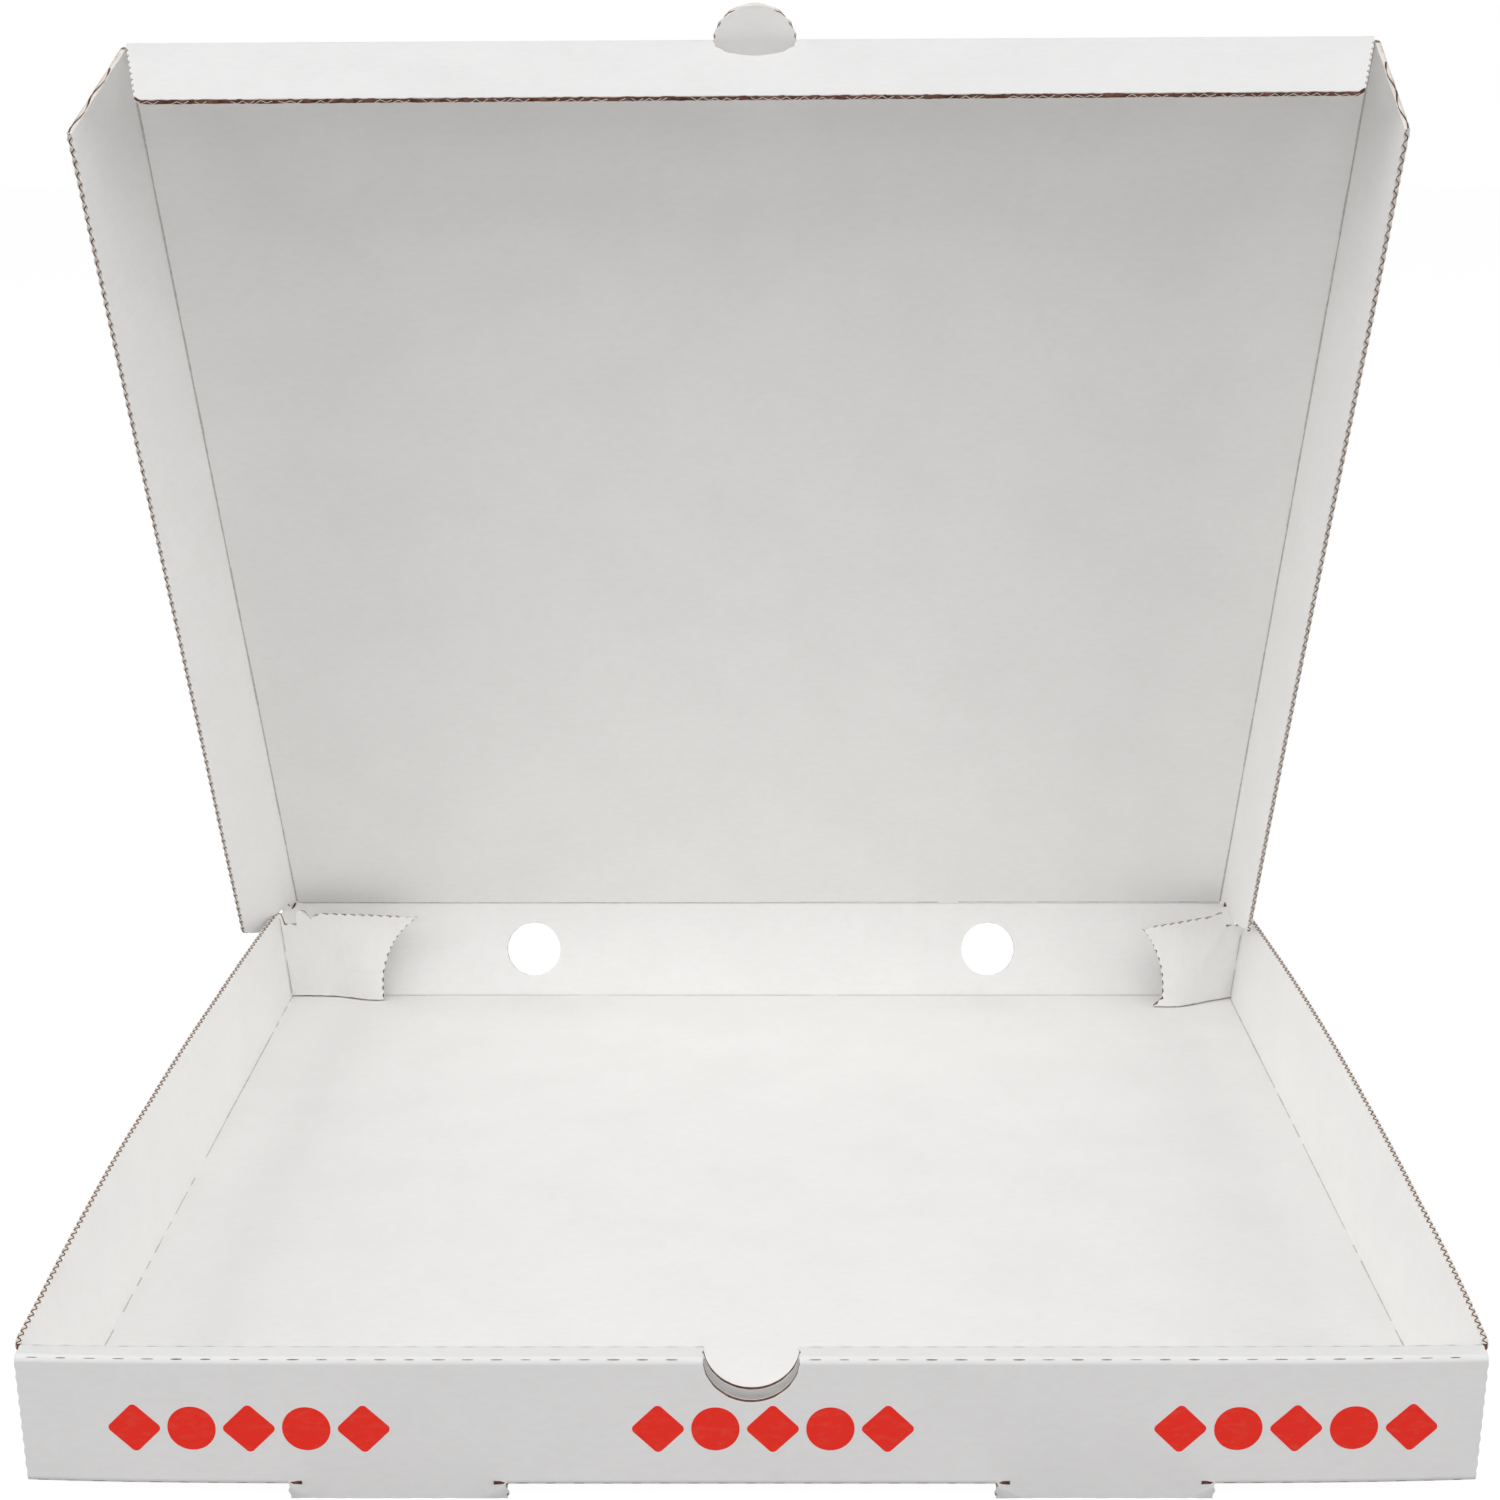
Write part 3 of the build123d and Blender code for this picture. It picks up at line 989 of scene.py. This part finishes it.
def add_tray_lines(store, notch_half):
    """Perforation cuts, painted crease shade lines and pressed marks of the tray."""
    for side in (-1, 1):
        rear = on_dust_flap(side)

        def base_line(t, u):
            return (side * (half_tray - base_line_inset + u), t, board + proud)

        def corner_line(t, u):
            return rear(t, corner_line_inset + u, -corner_line_lift)

        low, high = sorted((side * (notch_half + dash_margin), side * (half_tray - line_margin)))
        add_dashes(store, low, high, round_fold(wall_height - board, top_dash_angle, 1))
        add_crease_shade(store, band_depth, wall_rear_y, base_line, "base right" if side > 0 else "base left")
        add_crease_shade(store, corner_line_margin, wall_run - corner_line_margin, corner_line, "wall corner")
    for start, end in front_spans:
        add_dashes(store, start + dash_margin, end, round_fold(board, bottom_dash_angle, -1))

    def rear_line(t, u):
        return (t, rear_crease_y - rear_line_inset + u, board + proud)

    add_crease_shade(store, -half_tray + 2 * line_margin, half_tray - 2 * line_margin, rear_line, "base rear")
    left = on_dust_flap(-1)
    heights = steps_between(ridge_foot_share * wall_run, wall_run - ridge_top_gap, ridge_step)
    add_ridge(store, heights, lambda t, u, n: left(t, ridge_upright + u, n))
    add_ridge(store, steps_between(*ridge_span, ridge_step),
              lambda t, u, n: left(ridge_level_share * wall_run + u, t, n))


def on_back_wall(a, c, n):
    return (a, n, c)


def back_piece():
    store = new_store()
    low = half_tray - back_inset
    top = back_wall_height - crease_gap
    ear_low = top - back_ear_height
    vents = []
    for side in (-1, 1):
        vents.append(arc((side * vent_spacing / 2, vent_height), vent_radius, 360, 0, circle_steps)[:-1])
    ends = {}
    for side, ear in back_ears.items():
        end = side * (half_tray + ear)
        ends[side] = [(side * low, crease_gap), (side * low, ear_low - ear), (end, ear_low), (end, top)]
    right, left = ends[1], ends[-1][::-1]
    edges = [([left[-1], right[0]], "fold"), (right, "cut"), ([right[-1], left[0]], "fold"), (left, "cut")]
    add_board(store, edges, on_back_wall, holes=vents)
    return make_piece(store, "back_wall_sheet", "back_wall", back_place)


# The lid's panels: the second coordinate runs from the crease to the lip, and the inner face is at height 0
def lid_lean(a):
    """How much further the lid leans back at a, as a slope: nothing on the left, most on the right."""
    return lid_twist * (a + half_lids[-1]) / (half_lids[-1] + half_lids[1])


def on_lid(a, c, n):
    return (a, -c, n + c * lid_lean(a))


def on_lip(a, c, n):
    lean = lid_lean(a)
    return (a, -lid_length - n - c * lean, lid_length * lean - c)


def lid_piece():
    store = new_store()
    left, right = -half_lids[-1], half_lids[1]
    length = lid_length
    tab = arc((0, length), tab_radius, 0, 180, arc_steps)
    panel = [([(left, crease_gap), (right, crease_gap), (right, length), (tab_radius, length)], "fold"),
             (tab, "cut"),
             ([(-tab_radius, length), (left, length), (left, crease_gap)], "fold")]
    add_board(store, panel, on_lid)
    starts = {-1: left + lip_end_gap, 1: right - lip_end_gap}
    ends = {side: start - side * lip_taper for side, start in starts.items()}
    high = lip_depth - lip_corner
    hole = arc((0, 0), tab_radius, 0, 180, arc_steps, tab_hole_depth / tab_radius)[::-1]
    lip_edge = [(ends[1], high), (ends[1] - lip_corner, lip_depth),
                (ends[-1] + lip_corner, lip_depth), (ends[-1], high)]
    lip = [([(starts[-1], 0), hole[0]], "fold"),
           (hole, "cut"),
           ([hole[-1], (starts[1], 0)], "fold"),
           ([(starts[1], 0), lip_edge[0]], "cut"),
           (lip_edge, "torn"),
           ([lip_edge[-1], (starts[-1], 0)], "cut")]
    add_board(store, lip, on_lip)

    def lip_fold(x):
        return Vector(on_lid(x, length, 0)), UP, -BACK

    # Painted shade lines along the lid's rear crease and its side folds
    def rear_line(t, u):
        return on_lid(t, lid_rear_line_inset - u, -proud)

    for side in (-1, 1):
        def side_line(t, u):
            return on_lid(side * (half_lids[side] - lid_side_line_inset + u), t, -proud)

        add_outer_fold(store, steps_between(side * tab_radius, starts[side], fold_step), lip_fold)
        add_crease_shade(store, line_margin, length, side_line, "lid side")
    add_crease_shade(store, left + line_margin, right - line_margin, rear_line, "lid rear")
    return make_piece(store, "lid_sheet", "lid", lid_place)


def flare(side, s):
    return math.radians(look_up(flares[side], s) / mm)


def on_lid_flap(side):
    """A side flap: a is the distance from its fold, c runs along the lid, n goes outwards."""
    def place(a, c, n):
        angle = flare(side, c)
        x = half_lids[side] + a * math.sin(angle) + n * math.cos(angle)
        lift = c * lid_lean(side * half_lids[side])
        return (side * x, -c, lift - a * math.cos(angle) + n * math.sin(angle))
    return place


def add_tuft(store, place):
    """A tuft of torn middle paper at a flap's rear end, next to the crease."""
    rows = []
    for j in range(3):
        row = []
        for i in range(4):
            a = tuft_start[0] + i * tuft_pitches[0] + chance.uniform(-tuft_jitter, tuft_jitter)
            c = tuft_start[1] + j * tuft_pitches[1] + chance.uniform(-tuft_jitter, tuft_jitter)
            row.append(place(a, c, -tuft_lift - chance.uniform(0, tuft_rise)))
        rows.append(row)
    add_strip(store, rows, FLUTING)


def lid_flap_piece(side, name):
    store = new_store()
    rear = [(a * mm, c * mm) for a, c in flap_rears[side]]
    tip = (side_flap_depth, lid_length - flap_front_slant)
    place = on_lid_flap(side)
    edges = [([(0, lid_length), rear[0]], "fold"), (rear, "torn"),
             ([rear[-1], tip], "cut"), ([tip, (0, lid_length)], "cut")]
    add_board(store, edges, place)

    def flap_fold(s):
        angle = flare(side, s)
        return Vector(place(0, s, 0)), OUT * side * math.cos(angle) + UP * math.sin(angle), UP

    add_outer_fold(store, steps_between(rear[0][1], lid_length, fold_step), flap_fold, 1 / 5)
    if side < 0:
        add_tuft(store, place)
    piece = make_piece(store, name, "lid", lid_place)
    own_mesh(piece)


def crease_liner(name, pivot, first, second, half_width):
    """The outer liner across a crease that turns: it bends between two panels. first and second are each
    the panel's outward direction and the direction in which it goes away from the crease."""
    store = new_store()
    profile = [pivot + first[0] * (board + proud) + first[1] * crease_reach]
    for share in steps_between(0, 1, 1 / 8):
        profile.append(pivot + first[0].slerp(second[0], share) * (board + proud))
    profile.append(pivot + second[0] * (board + proud) + second[1] * crease_reach)
    xs = steps_between(-half_width, half_width, fold_step)
    add_strip(store, [[(x + point.x, point.y, point.z) for x in xs] for point in profile], OUTER)
    piece = make_mesh(store, name, Matrix.Identity(4))
    tuple(profile[1])
    tuple(profile[-2])
    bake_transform(piece)


def rounded_diamond(centre, reach, corner):
    """A square on its tip with rounded corners."""
    points = []
    inner = reach - corner * math.sqrt(2)
    for turn in (-90, 0, 90, 180):
        angle = math.radians(turn)
        middle = (centre[0] + inner * math.cos(angle), centre[1] + inner * math.sin(angle))
        points += arc(middle, corner, turn - 45, turn + 45, 6)
    return points


def print_piece():
    """Plain red ornaments in three places on the front wall: diamonds and discs in turn."""
    store = new_store()
    low, high = ornament_span
    middle, reach = (low + high) / 2, (high - low) / 2
    for left, right in ornament_groups:
        pitch = (right - left - 2 * reach) / (ornament_count - 1)
        for index in range(ornament_count):
            centre = (left + reach + pitch * index, middle)
            ring = rounded_diamond(centre, reach, ornament_corner)
            if index % 2:
                ring = arc(centre, reach * disc_share, 0, 360, circle_steps)[:-1]
            add_sheet(store, [ring], on_front, board - proud, board + proud, 0, 0)
    make_piece(store, "front_ornament", "tray", tray_place, (red_ink,))


def turned(place, direction):
    return (place.to_3x3() @ direction).normalized()


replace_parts(tray_piece(), "tray")
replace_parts(back_piece(), "back_wall")
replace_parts(lid_piece(), "lid")
lid_flap_piece(-1, "lid_flap_left")
lid_flap_piece(1, "lid_flap_right")
crease_liner("rear_crease", rear_crease,
             (turned(tray_place, -UP), turned(tray_place, -BACK)),
             (turned(back_place, BACK), turned(back_place, UP)), half_tray)
crease_liner("lid_crease", lid_crease,
             (turned(back_place, BACK), turned(back_place, -UP)),
             (turned(lid_place, UP), turned(lid_place, -BACK)), half_lids[1])
print_piece()

# Floor
floor_size = 6.0
floor_grey = 0.5
glow_strength = 1.21
glow_share = 0.8
floor_mesh = bpy.data.meshes.new("floor")
corners = [(x * floor_size, y * floor_size, 0) for x, y in ((-1, -1), (1, -1), (1, 1), (-1, 1))]
floor_mesh.from_pydata(corners, [], [(0, 1, 2, 3)])
floor = new_object("floor", floor_mesh)
floor_paint, nodes, links, shader = new_material("floor_paint", roughness=0.9, specular=0)
set_inputs(shader, {"Base Color": (floor_grey, floor_grey, floor_grey, 1)})
glow = nodes.new("ShaderNodeEmission")
set_inputs(glow, {"Strength": glow_strength})
show_to_camera(nodes, links, "Material Output", shader.outputs["BSDF"], glow.outputs["Emission"], glow_share)
floor_mesh.materials.append(floor_paint)

# Light
sky_strength = 0.214
sky_seen = 1.0
world = bpy.data.worlds.new("studio")
bpy.context.scene.world = world
world.use_nodes = True
nodes, links = world.node_tree.nodes, world.node_tree.links
sky, white_sky = nodes["Background"], nodes.new("ShaderNodeBackground")
set_inputs(sky, {"Color": (1, 1, 1, 1), "Strength": sky_strength})
set_inputs(white_sky, {"Color": (1, 1, 1, 1), "Strength": sky_seen})
show_to_camera(nodes, links, "World Output", sky.outputs["Background"], white_sky.outputs["Background"], 1)

# The lamps: name, place, width and height, watts; each faces the box
lamps = [
    ("key", (0, -1.15, 1.65), (2.4, 1.2), 15),
    ("overhead", (0, 0.1, 2.0), (2.4, 1.4), 5.6),
    ("front", (0, -2.2, 0.75), (2.4, 1.0), 5),
    ("left", (-1.9, -0.6, 1.0), (1.2, 1.2), 17),
    ("right", (1.9, -0.6, 1.0), (1.2, 1.2), 15),
]
box_middle = Vector((0, 0, 0.05))
for name, location, (width, height), energy in lamps:
    data = bpy.data.lights.new(name, "AREA")
    data.shape = "RECTANGLE"
    data.size = width
    data.size_y = height
    data.energy = energy
    lamp = new_object(name, data)
    lamp.location = location
    lamp.rotation_euler = (box_middle - Vector(location)).to_track_quat("-Z", "Y").to_euler()

# Camera
frame_pixels = 1500
focal_pixels = 2471.08
centre_pixels = (777.70, 985.96)
camera_in_tray = Vector((5.94 * mm, -495.83 * mm, 300.59 * mm))
camera_pitch = math.radians(19.88)
camera_sensor = 36
camera_near = 0.01
camera_data = bpy.data.cameras.new("camera")
camera_data.sensor_width = camera_sensor
camera_data.lens = focal_pixels / frame_pixels * camera_sensor
camera_data.shift_x = (frame_pixels / 2 - centre_pixels[0]) / frame_pixels
camera_data.shift_y = (centre_pixels[1] - frame_pixels / 2) / frame_pixels
camera_data.clip_start = camera_near
camera = new_object("camera", camera_data)
camera.matrix_world = (tray_place @ Matrix.Translation(camera_in_tray)
                       @ Matrix.Rotation(math.radians(90) - camera_pitch, 4, "X"))
bpy.context.scene.camera = camera
bpy.context.scene.view_settings.view_transform = "Standard"
